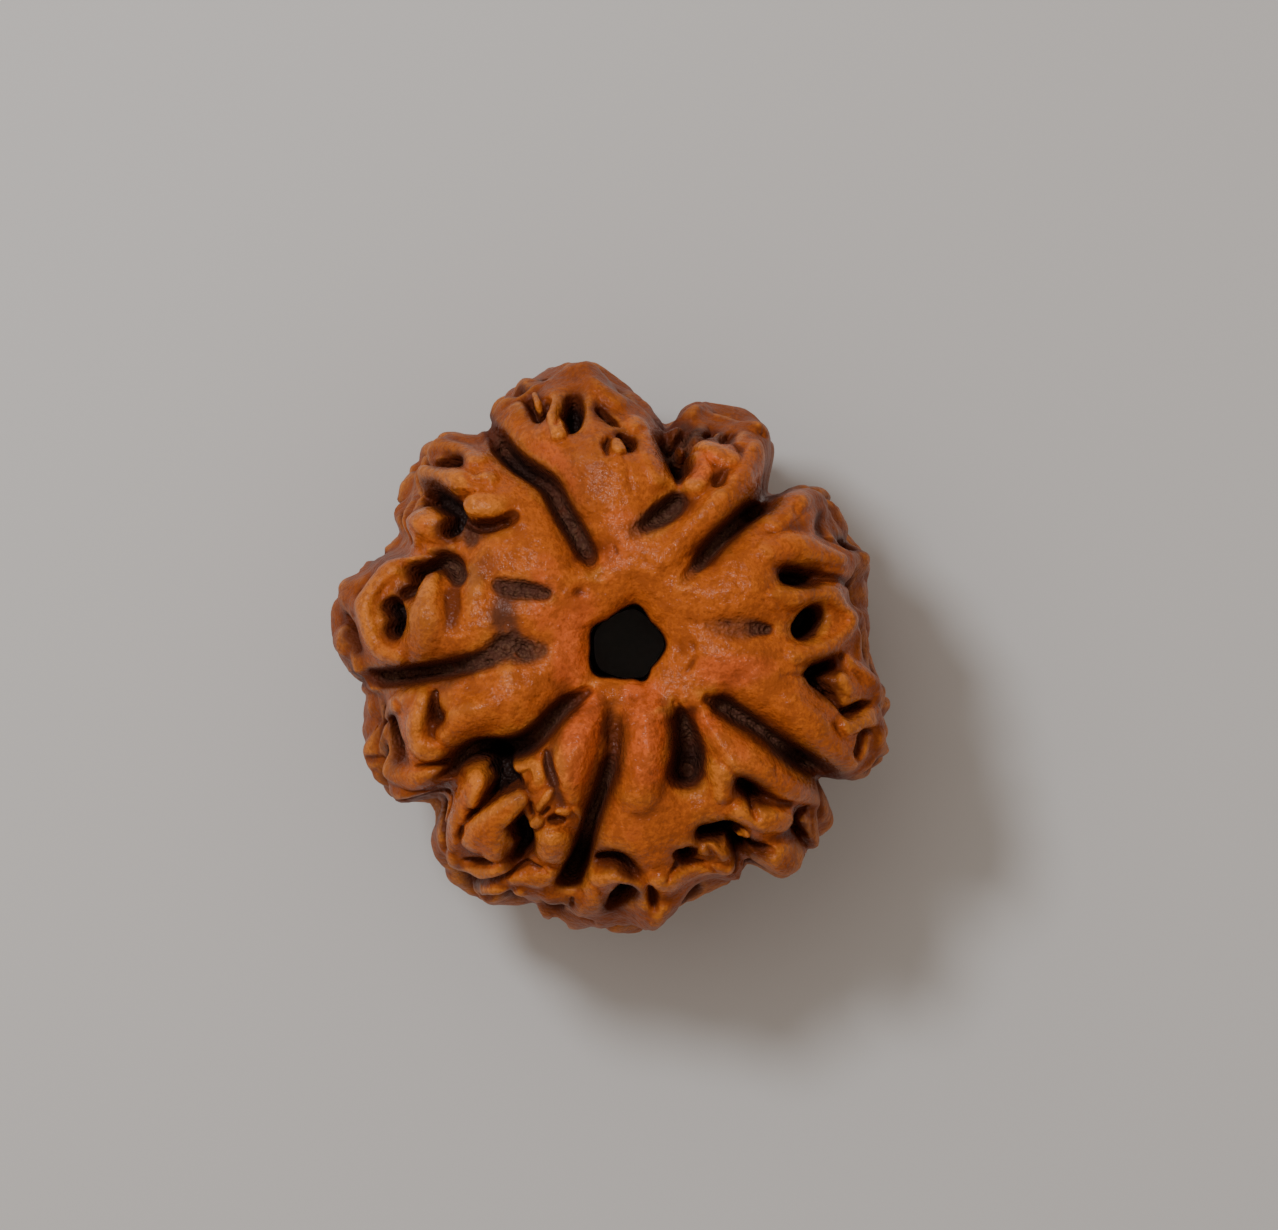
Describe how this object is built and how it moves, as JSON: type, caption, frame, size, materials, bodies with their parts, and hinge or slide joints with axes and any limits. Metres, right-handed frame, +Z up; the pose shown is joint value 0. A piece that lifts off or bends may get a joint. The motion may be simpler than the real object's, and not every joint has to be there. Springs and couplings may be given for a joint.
{
  "type": "rudraksha bead",
  "caption": "Round woody rudraksha bead with a natural bore along its axis, deep clefts between rounded lobes, and knobs and pits all over.",
  "frame": {"origin": "on the resting surface, under the middle of the bead's box, at the level of the worn flat spots of the underside", "axes": "+Z up along the natural bore, the shortest extent; +Y is the longest extent; the bore's axis is 0.85 mm off the origin towards +X"},
  "size_m": [0.0242, 0.025, 0.0199],
  "materials": {
    "bead": "oiled woody stone, glossy ochre to reddish brown on the lobes, dull dark brown in the clefts and pits"
  },
  "bodies": {
    "root": {"rudraksha_bead": "bead"}
  },
  "joints": []
}
